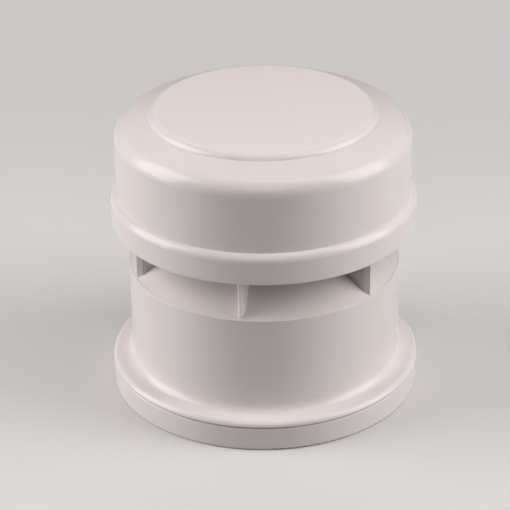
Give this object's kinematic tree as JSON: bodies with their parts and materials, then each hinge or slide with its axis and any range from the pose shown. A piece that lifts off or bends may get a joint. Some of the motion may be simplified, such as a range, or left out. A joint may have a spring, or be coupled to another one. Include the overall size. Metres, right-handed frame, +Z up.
{
  "type": "air admittance valve",
  "caption": "Round white drain-vent valve: domed cap over a windowed body with a ring-sealed pipe socket; a disc with a rubber diaphragm lifts inside to let air in.",
  "frame": {"origin": "centre of the bottom face of the seal retaining cap, on the pipe's axis", "axes": "+Z up along the pipe's axis, from the socket's mouth to the cap; -Y is the side seen in the picture"},
  "size_m": [0.1348, 0.1348, 0.1281],
  "materials": {
    "shell": "satin moulded",
    "inner_plastic": "moulded",
    "seal_rubber": "matt"
  },
  "bodies": {
    "housing": {"cover_cap": "shell", "cap_o_ring": "seal_rubber", "seat_ring": "inner_plastic", "valve_body": "shell", "pipe_ring_seal": "seal_rubber", "seal_retaining_cap": "shell"},
    "valve": {"valve_disc": "inner_plastic", "diaphragm": "seal_rubber", "diaphragm_clamp_ring": "inner_plastic"}
  },
  "joints": [
    {"name": "valve_lift", "type": "slide", "parent": "housing", "child": "valve", "axis": [0, 0, 1], "range_m": [0, 0.008]}
  ]
}
